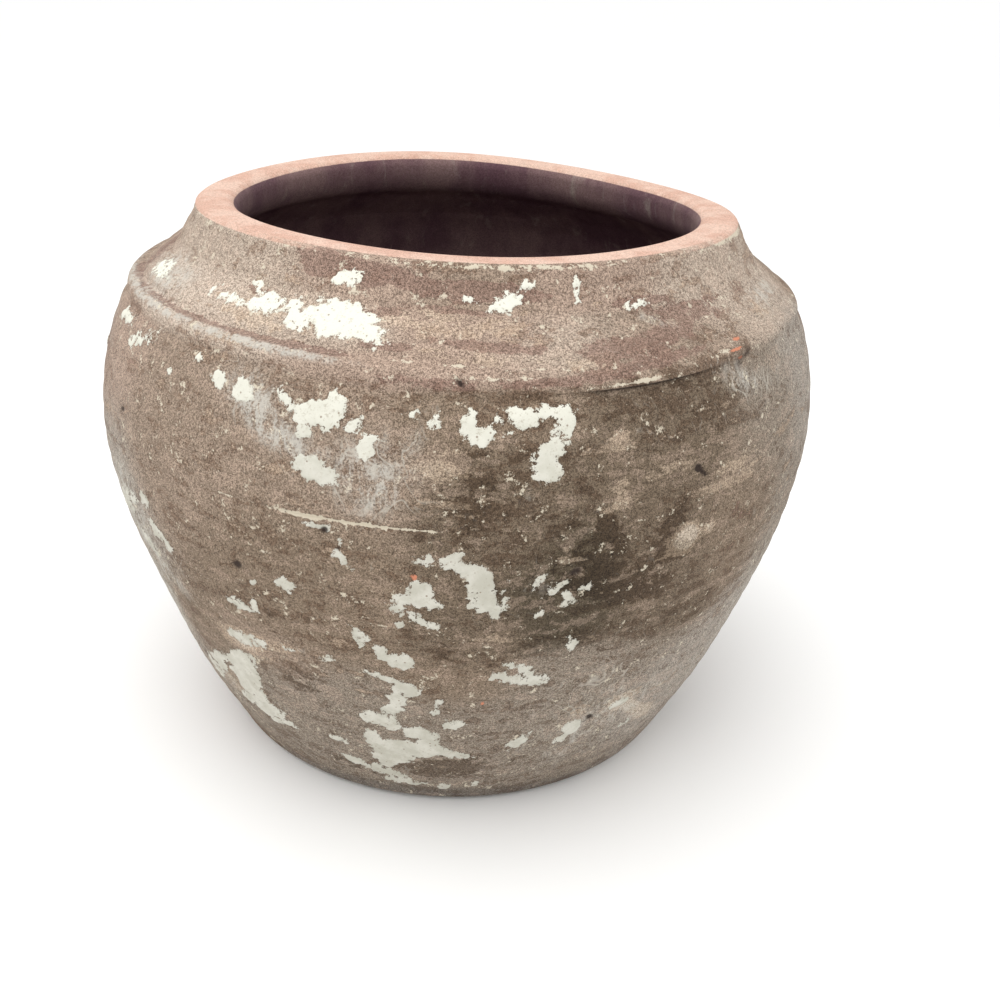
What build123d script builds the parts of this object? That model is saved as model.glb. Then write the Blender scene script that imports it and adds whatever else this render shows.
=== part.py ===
from build123d import *

import math
import os

# Hand-thrown terracotta pot: a wide belly, a ridged shoulder, a short flared neck and a thick flat rim.
#
# The pot was thrown in three clay sections that were luted together while leather-hard and fused in
# the kiln: a lower body with the floor, an upper body that starts at the widest ring, and a collar
# whose edge laps over the upper body as the shoulder ridge. Flakes of an old limewash still cling to
# the outside. Millimetres, +Z up, origin at the centre of the foot.

# Heights above the foot
HEIGHT = 282.0
BELLY_SEAM_Z = 186.0  # lower body meets upper body
COLLAR_SEAM_Z = 241.0  # collar meets upper body, just under the shoulder ridge
BELLY_Z = 181.0  # widest ring

# Radii
FOOT_R = 122.0
BELLY_R = 186.4
RIM_R = 135.5
MOUTH_R = 116.0

# Clay thicknesses and edges
FLOOR = 18.0
WALL = 16.0
HEEL_EDGE = 8.0  # rise of the rounded edge round the foot
FLOOR_FILLET = 26.0  # inside, between the floor and the wall
RIM_OUTER_EDGE = 2.5
RIM_INNER_EDGE = 5.0
MOUTH_LAND = 9.0  # straight stretch of the mouth, under its rounded edge
DRAIN_R = 12.5

# Shoulder ridge: the collar's rounded lower edge
COLLAR_FOOT_R = 171.0  # the upper body, where the collar sits on it
LAP = 1.0  # how far the collar stands out over the upper body
RIDGE_Z = 246.5
RIDGE_R = 167.0
GROOVE_Z = 249.6  # incised line above the ridge
GROOVE_DEPTH = 0.9
NECK_FOOT = (146.7, 262.0)  # where the shoulder turns up into the neck

# Limewash flakes
FLAKE_GAP = 0.05  # keeps the flakes' back face clear of the clay
FLAKE = 0.6
SHELL_STEP = 4.0  # spacing of the points that carry the flakes' line up the wall

# Each flake: azimuth in degrees round from the front (-Y) towards +X, then height, width and
# height of the flake in millimetres, and its lean in degrees.
FLAKES = [
    (-20, 258, 36, 11, -8), (-34, 260, 14, 7, 10), (-21, 272, 12, 7, 0), (6, 269, 10, 8, 25),
    (-20, 226, 25, 14, 0), (-18, 205, 17, 10, -15), (-11, 217, 9, 8, 30), (2, 225, 13, 12, 0),
    (9, 231, 17, 8, 5), (13, 227, 8, 12, 0), (11, 215, 13, 15, 20), (3, 160, 14, 24, 25),
    (6, 150, 8, 13, 0), (-5, 152, 20, 11, 0), (-5, 140, 16, 5, -10), (-8, 117, 16, 12, -35),
    (-7, 95, 18, 22, 30), (-11, 72, 20, 12, 0), (-7, 54, 42, 18, 0), (10, 105, 24, 9, 0),
    (-32, 129, 22, 9, -20), (-37, 78, 20, 40, 25), (-38, 50, 18, 30, 35), (-18, 26, 32, 7, -20),
    (22, 57, 11, 20, -35), (35, 67, 24, 34, -40), (-51, 161, 10, 26, 20), (-57, 236, 14, 7, 0),
    (74, 140, 18, 12, 0), (88, 82, 16, 34, 15), (97, 214, 26, 13, -10), (118, 168, 14, 20, 20),
    (126, 60, 34, 15, 5), (141, 232, 12, 9, 0), (150, 112, 20, 26, -25), (166, 205, 22, 14, 0),
    (177, 70, 16, 30, 20), (-168, 258, 24, 8, 0), (-160, 150, 24, 16, 10), (-149, 42, 30, 12, -10),
    (-138, 222, 14, 16, 25), (-126, 98, 18, 30, 15), (-109, 184, 26, 13, -15), (-98, 56, 18, 26, 30),
    (-82, 216, 14, 9, 0), (-80, 118, 12, 24, -20),
]


def outer_wall():
    """The belly's outer line, from the top of the heel to just under the shoulder ridge."""
    return Spline(
        (132.6, HEEL_EDGE), (149.2, 42), (166.6, 88), (180.4, 135), (BELLY_R, BELLY_Z), (181.5, 214),
        (COLLAR_FOOT_R, COLLAR_SEAM_Z),
    )


def inner_wall():
    """The cavity's line, from the floor fillet up to the flare under the mouth."""
    return Spline(
        (136.6 - FLOOR_FILLET / 3, FLOOR + FLOOR_FILLET), (158.0, 112), (BELLY_R - WALL, BELLY_Z - 3),
        (165.0, 214), (153.0, COLLAR_SEAM_Z), (133.5, 256.5),
        (MOUTH_R, HEIGHT - RIM_INNER_EDGE - MOUTH_LAND),
    )


def collar_outline():
    """The collar's outer lines, from its lapping edge up to the rim's flat top."""
    ridge_foot = (COLLAR_FOOT_R + LAP, COLLAR_SEAM_Z)
    neck_top = (RIM_R + 0.6, HEIGHT - RIM_OUTER_EDGE)
    return [
        Spline(ridge_foot, (171.0, 243.4), (RIDGE_R, RIDGE_Z), tangents=[(0.1, 1), (-1, 0.55)]),
        Spline((RIDGE_R, RIDGE_Z), (163.6 - GROOVE_DEPTH, GROOVE_Z - 0.4), (160.4, GROOVE_Z + 1.8),
               tangents=[(-1, 0.55), (-1, 0.8)]),
        Line((160.4, GROOVE_Z + 1.8), (149.5, NECK_FOOT[1] - 2.4)),
        Spline((149.5, NECK_FOOT[1] - 2.4), (144.4, NECK_FOOT[1] + 2.6), neck_top,
               tangents=[(-10.9, 8.2), (-0.45, 1)]),
        Spline(neck_top, (RIM_R - RIM_OUTER_EDGE, HEIGHT), tangents=[(-0.45, 1), (-1, 0)]),
    ]


def clay_section():
    """Half of the pot's cross-section, floor to rim, as one face on the XZ plane."""
    rim_inner = (MOUTH_R + RIM_INNER_EDGE, HEIGHT)
    land_top = (MOUTH_R, HEIGHT - RIM_INNER_EDGE)
    wall, cavity = outer_wall(), inner_wall()
    floor_edge = (cavity.position_at(0).X - FLOOR_FILLET * 0.8, FLOOR)
    lines = [
        Line((DRAIN_R, 0), (FOOT_R, 0)),
        Spline((FOOT_R, 0), wall.position_at(0), tangents=[(1, 0), wall.tangent_at(0)]),
        wall,
        Line(wall.position_at(1), (COLLAR_FOOT_R + LAP, COLLAR_SEAM_Z)),
        *collar_outline(),
        Line((RIM_R - RIM_OUTER_EDGE, HEIGHT), rim_inner),
        Spline(rim_inner, land_top, tangents=[(-1, 0), (0, -1)]),
        Line(land_top, cavity.position_at(1)),
        cavity,
        Spline(cavity.position_at(0), floor_edge, tangents=[-cavity.tangent_at(0), (-1, 0)]),
        Line(floor_edge, (DRAIN_R, FLOOR)),
        Line((DRAIN_R, FLOOR), (DRAIN_R, 0)),
    ]
    return Plane.XZ * make_face(Wire(lines))


def turned(face, low, high):
    """The solid swept round Z by the stretch of the cross-section between two heights."""
    reach = 2 * BELLY_R
    slab = Pos(reach / 2, 0, (low + high) / 2) * Box(reach, 1, high - low)
    return revolve(face & slab, Axis.Z)


def lime_shell(stretches):
    """A thin shell just off the clay's outside, following the given stretches of its outline."""
    back, front = [], []
    for line in stretches:
        steps = max(2, round(line.length / SHELL_STEP))
        for step in range(steps):
            point = line.position_at(step / steps)
            along = line.tangent_at(step / steps)
            back.append((point.X + FLAKE_GAP * along.Y, point.Y - FLAKE_GAP * along.X))
            front.append((point.X + FLAKE * along.Y, point.Y - FLAKE * along.X))
    inside, outside = Spline(*back), Spline(*front)
    ends = [Line(inside.position_at(at), outside.position_at(at)) for at in (0, 1)]
    return revolve(Plane.XZ * make_face([inside, outside, *ends]), Axis.Z)


def flake_prism(number, azimuth, height, width, tall, lean):
    """A wavy-edged prism that reaches out from the pot's axis, as wide and tall as one flake."""
    turn = math.radians(azimuth)
    outward = Vector(math.sin(turn), -math.cos(turn), 0)
    sideways = Vector(math.cos(turn), math.sin(turn), 0)
    steps = 11
    points = []
    for step in range(steps):
        angle = 2 * math.pi * step / steps
        reach = 0.5 * (1 + 0.18 * math.sin(3 * angle + number) + 0.1 * math.sin(5 * angle + 2 * number))
        points.append((width * reach * math.cos(angle), tall * reach * math.sin(angle)))
    outline = make_face(Spline(*points, periodic=True)).rotate(Axis.Z, lean)
    plane = Plane(origin=(0, 0, height), x_dir=sideways, z_dir=outward)
    return extrude(plane * outline, 1.2 * BELLY_R)


def limewash():
    """All the flakes, as separate thin solids."""
    belly_shell = lime_shell([outer_wall()])
    collar_shell = lime_shell(collar_outline()[:4])
    solids = []
    for number, flake in enumerate(FLAKES):
        shell = collar_shell if flake[1] > COLLAR_SEAM_Z else belly_shell
        solids += (shell & flake_prism(number, *flake)).solids()
    return Compound(children=solids)


def main():
    os.makedirs("parts", exist_ok=True)
    section = clay_section()
    pieces = {
        "lower_body": turned(section, 0, BELLY_SEAM_Z),
        "upper_body": turned(section, BELLY_SEAM_Z, COLLAR_SEAM_Z),
        "collar": turned(section, COLLAR_SEAM_Z, HEIGHT),
        "limewash_flakes": limewash(),
    }
    for name, shape in pieces.items():
        export_step(shape, f"parts/{name}.step")


main()
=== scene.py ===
"""A weathered hand-thrown terracotta pot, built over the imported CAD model.

Each clay section is a closed mesh whose outside carries the potter's rings, the joins between the
sections, dents and pits. The limewash is one mesh of thin raised flakes. Azimuths are degrees round
from the front (-Y) towards +X, heights and lengths are millimetres above the foot.
"""

import itertools
import math

import bpy
import numpy as np
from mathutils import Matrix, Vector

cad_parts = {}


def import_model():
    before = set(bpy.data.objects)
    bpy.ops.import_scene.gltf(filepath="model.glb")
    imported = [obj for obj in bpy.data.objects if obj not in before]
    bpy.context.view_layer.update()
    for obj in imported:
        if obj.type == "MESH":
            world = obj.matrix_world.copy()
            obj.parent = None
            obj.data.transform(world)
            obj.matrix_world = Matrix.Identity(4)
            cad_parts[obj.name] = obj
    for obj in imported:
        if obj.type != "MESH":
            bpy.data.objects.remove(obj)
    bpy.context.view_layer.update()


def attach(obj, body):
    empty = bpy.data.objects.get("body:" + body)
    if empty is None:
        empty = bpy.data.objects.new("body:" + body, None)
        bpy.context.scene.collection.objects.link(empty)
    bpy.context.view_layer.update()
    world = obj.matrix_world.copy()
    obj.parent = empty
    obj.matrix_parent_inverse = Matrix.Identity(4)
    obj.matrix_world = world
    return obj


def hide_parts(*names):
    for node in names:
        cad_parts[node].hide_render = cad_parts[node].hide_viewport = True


MM = 0.001

SEAM_Z = 186.0  # lower body meets upper body
COLLAR_Z = 241.0  # collar meets upper body
NECK_Z = 262.0  # where the shoulder turns up into the neck
RIM_Z = 282.0
HEEL_Z = 8.0
FOOT_R = 122.0
DRAIN_R = 12.5
CURVE_TOP_Z = 279.0  # the outside's curve ends just under the rim's rounded edge
LIP = 6.4  # the rim's rounded inner edge
SHARP_EDGE = 38  # degrees between faces from which an edge shows
BACK = (72, 288)  # azimuths of the sides and back, where marks are placed at random
FLOOR_Z = 18.0
MOUTH_R = 116.0

# (height, radius) up the outside, heel to rim
OUTSIDE = [
    (8, 132.6), (42, 149.2), (88, 166.6), (135, 180.4), (181, 186.4), (214, 181.5), (236, 173.2),
    (241, 171.0), (244, 169.6), (246.5, 167.0), (249.5, 163.0), (252, 159.6), (256, 154.3),
    (259.6, 149.5), (263, 145.6), (267, 142.7), (272, 139.8), (279.5, 136.1),
]
# (height, radius) up the cavity, floor fillet to the mouth's straight land
INSIDE = [
    (44, 128), (80, 145), (112, 158), (178, 170.4), (214, 165), (241, 153), (256.5, 133.5), (268, 116),
]

ROUND = 720  # points in each ring outside
ROUND_INSIDE = 240  # and inside, where the surface is plain
FLAKE_COLUMNS = 1400
FLAKE_ROW = 0.75
FLAKE_THICK = 0.38
FLAKE_DEPTH = 0.3  # how far the flakes' backs sit in the clay

# Limewash flakes: (azimuth, height, half width, half height, lean in degrees, cover).
# Cover 1 is an unbroken flake, and lower ones are broken up into crumbs.
FLAKES = [
    # neck and shoulder
    (-21, 273, 6.5, 3.6, 0, 0.75), (-20, 258.5, 13, 5.5, 0, 1), (-24.5, 257.5, 9, 3, 8, 1),
    (-16, 256, 8, 2.6, -6, 0.9), (-33.5, 259, 7, 2.6, 4, 0.9), (-28.5, 259.5, 4, 2, 0, 0.9),
    (-43, 257.5, 7, 1.1, 0, 0.8), (-38, 263.5, 2.4, 1.3, 0, 0.8), (6.5, 268.5, 6, 2.4, 24, 0.9),
    (9, 273, 4, 1.6, 15, 0.7), (0.5, 269, 3, 1, 0, 0.6), (29.5, 265.5, 3.4, 1, 0, 0.9),
    (18.6, 274, 1.5, 1.2, 0, 0.9), (18.6, 269, 1.3, 1.2, 60, 0.8), (-66, 256, 14, 4, 0, 0.3),
    # under the ridge
    (-19.5, 228, 8, 4.5, 10, 1), (-18, 228, 5.5, 6, 0, 1), (-17.2, 233.5, 3, 3, 0, 1),
    (-24, 230.5, 5, 2.2, -20, 1), (-20.5, 220, 3, 3.6, 0, 0.9), (-13.5, 224.5, 5, 4, 0, 0.4),
    (-11.8, 217, 3.4, 3.6, -30, 0.85), (-10.8, 221.5, 3, 1.6, 10, 0.7), (-18.6, 206, 8.5, 3.8, -12, 0.9),
    (-35, 231, 3.2, 3.4, -40, 0.95), (-30.8, 229.5, 3.5, 3, -25, 0.95), (-40, 235, 2, 1.8, 40, 0.8),
    (-45.5, 226, 1.6, 1.3, 0, 0.8), (-3.6, 230, 1.5, 3, -25, 0.8), (-6.8, 231, 1.6, 1, 0, 0.6),
    (0.8, 229, 3, 4.5, 0, 0.9), (2.2, 225, 5.2, 4, 0, 0.95), (7.6, 232.5, 6, 3.6, -8, 1),
    (11.4, 233.6, 7.5, 2.6, 0, 1), (13.6, 230, 3, 5.5, 0, 1), (11.4, 219.5, 6.6, 3.2, 8, 1),
    (11, 212.5, 5.2, 5.5, 10, 1), (4.4, 230.5, 1.6, 1.6, 0, 0.8), (5.5, 225, 2, 1, 20, 0.5),
    (-56, 232, 13, 2.2, 22, 0.75), (-65, 235, 11, 2.2, 4, 0.7),
    # belly
    (-18, 183, 4, 1.4, 0, 0.7), (-15, 176, 1.6, 2.6, 20, 0.6), (-14.8, 170, 4.5, 2.6, -30, 0.85),
    (-4, 173, 6, 3, 0, 0.5), (-23, 149.5, 5, 3, 0, 0.85), (-28.5, 146, 1.6, 1.2, 0, 0.6),
    (-4.2, 156.5, 5.5, 4.6, 0, 1), (-4.6, 151.5, 9, 3.4, 0, 0.95), (-7.6, 147.5, 3, 2.6, 30, 0.9),
    (-4.5, 141.5, 7, 1.6, -14, 0.95), (-7.2, 137.5, 2.6, 2, 0, 0.6), (-0.6, 173, 3, 3.4, -50, 1),
    (1.6, 168.6, 5.5, 2.8, -30, 1), (3.2, 166, 4.5, 4.5, 0, 1), (3.4, 161, 5, 5.5, 0, 1),
    (3.6, 154.5, 5, 6, 10, 1), (5.6, 148.5, 3.4, 4, -30, 0.85), (6.9, 154, 1.8, 6, 0, 0.75),
    (13, 157.5, 5, 1.6, 30, 0.75), (11.2, 163, 1.8, 4.4, -20, 0.5), (15, 154, 4, 1.4, -45, 0.75),
    (17.6, 157, 1.6, 1.5, 0, 0.95), (11.2, 144, 1.2, 1.6, 0, 0.9), (15, 149, 2.4, 2.4, 0, 0.35),
    # lower wall, front
    (-12.6, 128.5, 4, 3.5, -30, 0.55), (-9.6, 119.5, 6, 4, -50, 0.85), (-7.6, 115.5, 6, 4, -25, 0.85),
    (-13.5, 127, 2.2, 6, 20, 0.6), (-32, 128, 7, 3, -4, 0.75), (-29, 133, 2.6, 3.6, 0, 0.7),
    (-35, 104, 9, 5, 0, 0.45), (-32, 106, 6, 3, 0, 0.55), (-19, 108.5, 4, 2, 20, 0.55),
    (-25, 109, 5, 1.2, 0, 0.4), (7.5, 107, 4, 4, 0, 0.85), (11, 104, 10, 3.6, -14, 0.85),
    (10, 112, 8, 2, -35, 0.6), (16.5, 125, 3, 5, 30, 0.4), (-6.8, 96.5, 6, 5, 0, 1),
    (-8.4, 90, 4, 6.5, 12, 0.9), (-9.2, 82.5, 5, 4, 10, 0.95), (-10, 103.5, 8, 2.2, -20, 0.75),
    (-2.2, 81.5, 2, 2, 0, 0.8), (-2.2, 90, 1.4, 4, 10, 0.5), (-12, 72.5, 8, 4, 0, 0.95),
    (-10, 68, 3.4, 4, 0, 0.9), (0.4, 71.5, 5.5, 3, -6, 0.75), (-5.6, 65, 6, 4.5, -8, 1),
    (-7.5, 50, 17, 6.5, 0, 1), (-10.5, 41.5, 10.5, 7, 4, 1), (-13.5, 55, 4, 6, 0, 1),
    (0.5, 47.5, 9, 2.4, -12, 0.95), (-3.6, 57, 5.5, 7, 0, 1), (-12.6, 33.5, 4, 3.4, 20, 0.8),
    (-20.6, 47.5, 5, 3.6, -20, 0.6), (12.6, 56.5, 3, 7.5, -42, 0.7), (21.6, 60, 4.5, 6, -24, 0.75),
    (20.6, 53, 3, 5, -10, 0.6), (-19, 30, 9, 3, -12, 0.75), (-12.5, 24.5, 11, 3.4, -20, 0.75),
    (-9, 18, 11, 3, -8, 0.6), (-6.2, 15.5, 2.2, 3, 0, 0.6), (-0.7, 15.5, 2.8, 3.2, 0, 0.7),
    (5.4, 18, 2.4, 3, 0, 0.6),
    # lower wall, left and right
    (-37.5, 84, 9, 7, 35, 0.95), (-38.5, 73, 12, 8, 30, 0.95), (-42, 79, 11, 3.4, 10, 0.8),
    (-38.5, 62, 10, 8, 0, 0.85), (-38, 51, 14, 7, 8, 0.8), (-34.5, 90, 3, 2.4, 0, 0.8),
    (-50.5, 162, 5, 6, 20, 0.35), (-56, 158, 9, 5, 0, 0.3), (-48, 146, 12, 4, -35, 0.35),
    (30.5, 70, 5, 4, 40, 0.3), (34.5, 47, 4, 3, 0, 0.4), (-47, 70, 10, 6, 30, 0.6),
    (-50, 60, 9, 7, 40, 0.5), (-33.5, 45, 9, 3, 20, 0.6), (-54, 134, 10, 3, -35, 0.5),
    (-60, 150, 12, 6, 10, 0.4),
]

# Worn colours of the clay, in the same form, among them painted shade in the groove above the left ridge and
# a painted highlight on its bead. The last number is the strength.
PALE_AREAS = [
    (32.5, 172, 5.5, 6, 0, 3), (36.5, 174, 4, 4.5, 0, 1.6), (-2, 212, 12, 11, 0, 0.9),
    (21, 222, 5, 7, 0, 1.1), (29, 206, 16, 7, 0, 0.9), (21, 196, 6, 12, 20, 0.9),
    (14, 176, 4, 10, 0, 0.9), (6, 132, 18, 7, 0, 0.8), (39, 196, 18, 12, 0, 0.9),
    (-21, 256, 60, 8, 0, 0.4), (31, 69, 6, 5, 40, 2.4), (35, 61, 11, 3, -38, 2.8),
    (40, 50, 7, 4, -30, 2.4), (-45, 60, 14, 10, 30, 1.6), (-37, 102, 13, 7, 0, 1.5),
    (22, 70, 9, 5, 0, 0.9), (-26, 70, 7, 5, 0, 1), (-20, 84, 5, 5, 0, 1), (-28, 108, 12, 5, 0, 0.9),
    (-33, 100, 10, 7, 0, 0.9), (8, 250.5, 44, 3.2, -2, 0.9), (-4, 262, 30, 5, 0, 0.7),
    (-36, 256, 34, 8, 0, 0.45), (15, 266, 26, 3, 0, 0.6), (-30, 240, 60, 20, 0, 0.15),
    (-36, 198, 46, 20, 0, 0.28), (-14, 196, 30, 9, 0, 0.45), (-3, 214, 12, 10, 0, 0.5),
    (-12, 262, 20, 3, 0, 0.5), (30, 172, 7, 6, 0, 0.95), (44, 205, 26, 14, 0, 0.3),
    (-60, 205, 40, 26, 0, 0.35), (20, 213, 16, 8, -20, 0.35), (56, 250, 30, 5, 0, 0.5),
    (48, 268, 40, 6, 0, 0.4), (-40, 270, 40, 7, 0, 0.3), (40, 66, 38, 24, 0, 0.5),
    (-18, 100, 18, 16, 0, 0.2), (58, 185, 26, 30, 0, 0.3), (-24, 160, 24, 18, 0, 0.2),
]
DARK_AREAS = [
    (1, 38, 24, 7, 0, 2.4), (-2, 29, 16, 5, 0, 2), (-20, 25, 16, 4, -20, 1.6), (-24, 92, 11, 10, 0, 1.9),
    (-45, 66, 12, 14, 0, 1.6), (-27, 130, 6, 3, 0, 2), (-21, 129.5, 3, 4, 0, 2), (29, 178, 6, 14, -14, 2),
    (32, 168, 12, 4, 0, 1.6), (20, 181, 5, 10, 40, 1.8), (24, 155, 18, 9, -8, 1.8),
    (17, 160, 10, 7, 20, 1.6), (-1, 121, 9, 5, 0, 1.6), (1, 204, 8, 14, 0, 1.8), (34, 244, 22, 2, 0, 1.6),
    (5, 200, 16, 22, 0, 0.95), (13, 197, 15, 16, 10, 0.95), (1, 185, 16, 8, 0, 0.7),
    (18, 178, 17, 9, 0, 0.9), (12, 232, 22, 9, 0, 0.5), (22, 229, 34, 9, -4, 0.7),
    (36, 221, 14, 8, 30, 0.65), (24, 150, 19, 10, -8, 1.25), (14, 158, 14, 10, 0, 0.8),
    (11, 168, 12, 9, 0, 0.7), (38, 129, 26, 11, 8, 0.85), (12, 127, 18, 7, 0, 0.8),
    (23, 121, 24, 11, 0, 0.75), (0, 128, 14, 10, 0, 0.35), (30, 178, 7, 15, -12, 0.7),
    (27, 165, 22, 16, 0, 0.45), (46, 220, 20, 6, 0, 0.65), (36, 240, 44, 3, 3, 0.9),
    (16, 243, 44, 3.4, 2, 0.5), (-12, 240.5, 60, 3, 0, 0.5), (-45, 108, 22, 15, 20, 0.6),
    (-52, 66, 16, 12, 20, 0.7), (-26, 90, 9, 12, 0, 0.55), (-20, 68, 9, 12, 0, 0.45),
    (-3, 38, 22, 6, 0, 0.7), (-22, 24, 18, 4, -20, 0.6), (-6, 27, 18, 5, 5, 0.7),
    (27, 44, 20, 9, -45, 0.4), (-22, 128, 6, 3.4, 0, 0.5), (-27, 128, 5, 3.6, 0, 0.5),
    (-32, 196, 6, 5, 0, 0.4), (-38, 183, 8, 6, 0, 0.35),
]
PURPLE_AREAS = [
    (-27, 275, 6, 4, 0, 1.6), (-18, 276, 10, 3, 0, 1.2), (2, 273, 18, 2.6, 0, 1.4),
    (30, 266, 12, 1.6, 0, 1.8), (-12, 252.5, 12, 1.4, 0, 1.4), (-26, 279.5, 16, 2.4, 0, 1),
    (-13, 276, 16, 3.2, 0, 0.8), (-17, 270, 6, 3, 0, 0.7), (-14, 262, 14, 2.6, 8, 0.9),
    (-3, 271.5, 22, 2.8, 0, 0.9), (8, 269.5, 22, 2.4, 0, 0.75), (0, 264.5, 20, 1.6, -3, 0.8),
    (4, 254, 26, 1.8, -3, 1), (23, 252.5, 18, 3.4, -3, 0.9), (33, 255, 16, 3.4, 0, 0.9),
    (42, 258, 20, 3, 0, 0.7), (-6, 243.5, 26, 2.4, 0, 0.9), (14, 244.5, 30, 2, 0, 0.8),
    # The first two areas on the next line paint the shade in the groove above the left ridge.
    (-44, 248.5, 90, 1.4, 0, 1), (-21, 248.8, 20, 1.4, 0, 0.7), (36, 262, 20, 2.2, 0, 0.7),
    (-34, 262, 14, 2, 0, 0.4), (-44, 262, 24, 3, 0, 0.4), (58, 262, 24, 3, 0, 0.4),
    (30, 247.5, 36, 1.6, 2, 0.8), (-48, 88, 26, 30, 10, 0.5), (42, 178, 30, 34, 0, 0.35),
    (-5, 118, 22, 26, 0, 0.3), (-58, 222, 24, 14, 0, 0.3), (-62, 182, 20, 16, 0, 0.35),
]
HAZE_AND_HIGHLIGHT_AREAS = [
    (-62, 152, 20, 14, 20, 0.9), (-53, 128, 24, 6, -35, 0.8), (-58, 108, 16, 10, 0, 0.6),
    (-60, 84, 14, 14, 0, 0.6), (-48, 58, 16, 14, 20, 0.5), (33, 64, 22, 18, -30, 0.3),
    (24, 44, 18, 12, 50, 0.35), (14, 86, 20, 24, 0, 0.2), (-30, 231, 10, 8, 0, 0.75),
    (-27.5, 222, 20, 6, -24, 0.85), (-23, 214, 13, 4, -14, 0.6), (-15, 209, 20, 9, -20, 0.5),
    (-11, 212, 11, 12, -20, 0.8), (-11, 197, 14, 9, 0, 0.6), (-27, 226, 12, 6, -35, 0.7),
    (-5.5, 223, 4, 13, -28, 0.5), (-5, 210, 6, 5, 0, 0.3), (9, 204, 4, 9, 0, 0.3),
    (43, 234, 11, 6, -25, 0.95), (49, 229, 12, 5, -10, 0.55), (56, 232, 18, 10, 0, 0.3),
    # The first two areas on the next line are a painted highlight along the bead of the left ridge.
    (-60, 246.2, 90, 1.3, 0, 1.5), (-30, 246.2, 30, 1.1, 0, 1.2), (-63, 256, 24, 6, 0, 1.5),
    (66, 256, 24, 4, 0, 0.8), (32, 259, 10, 1.6, -18, 0.8), (-56, 158, 22, 18, 0, 0.5),
    (-47, 130, 22, 14, -30, 0.4), (-64, 120, 26, 30, 0, 0.55), (44, 62, 46, 34, 0, 0.35),
    (60, 110, 24, 50, 0, 0.6), (26, 92, 16, 24, 0, 0.35), (20, 60, 34, 22, 0, 0.25),
    (-28, 40, 50, 24, 0, 0.2), (8, 30, 60, 16, 0, 0.2), (-58, 30, 30, 18, 0, 0.3),
    (70, 190, 18, 40, 0, 0.4), (-66, 76, 18, 30, 0, 0.5), (11, 160, 6, 8, 0, 0.35),
    (-35, 104, 12, 9, 0, 0.35),
]
# Thin lines of lime that fill a scored line or catch an edge, in the same form
LIME_LINES = [
    (-31, 186.3, 14, 0.4, 0, 0.6), (-20, 186.1, 12, 1.0, 0, 1.3), (-13, 186.1, 10, 0.8, 0, 1.0),
    (-6, 186, 14, 0.6, 0, 0.95), (26, 186, 14, 0.5, 0, 0.3), (6, 245.6, 26, 0.5, 0, 0.45),
    (-2, 249, 20, 0.4, 0, 0.3), (4, 280.9, 60, 0.9, 0, 0.7), (66, 280, 36, 1.5, 0, 0.9),
    (-80, 280.5, 40, 1.2, 0, 0.6), (24, 242.4, 16, 0.5, 1.5, 0.8), (12, 248.3, 40, 0.5, -1, 0.35),
    (41, 245.2, 14, 0.6, 0, 0.5),
]
# Fired clay laid bare by chips: orange
BARE_CHIPS = [
    (43.5, 244.6, 5, 0.7, 0, 0.9), (45.2, 247.8, 3, 0.8, 0, 0.9), (-5.2, 164, 1.5, 1.7, 0, 1),
    (4.9, 88, 1.2, 1.6, 0, 0.9), (44.5, 240.6, 3, 0.9, 0, 0.7),
]
# Pits: (azimuth, height, half width, half height, lean, depth)
PITS = [
    (-31, 152, 3.1, 2.6, 30, 1.6), (15.7, 165, 3.1, 2, 20, 1.5), (33.2, 203.5, 2.0, 2.0, 0, 1.0),
    (34.3, 200.5, 4, 1.1, -42, 1.3), (-0.5, 244.2, 2.6, 1.1, -35, 1.3), (-16.9, 181, 2.1, 1.8, 40, 1.3),
    (-15, 174, 1.6, 1.5, 0, 0.8), (-57, 200, 3, 1.6, 10, 0.8), (25.3, 64.5, 3.2, 1.8, -35, 1.0),
    (44, 239, 7, 2.4, 24, 0.55), (46.5, 243, 3, 5, 20, 0.45), (53, 264.7, 1, 0.8, 0, 0.7),
    (4.9, 88, 1.2, 1.2, 0, 0.5), (-19.5, 57, 1, 1, 0, 0.5),
]

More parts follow.
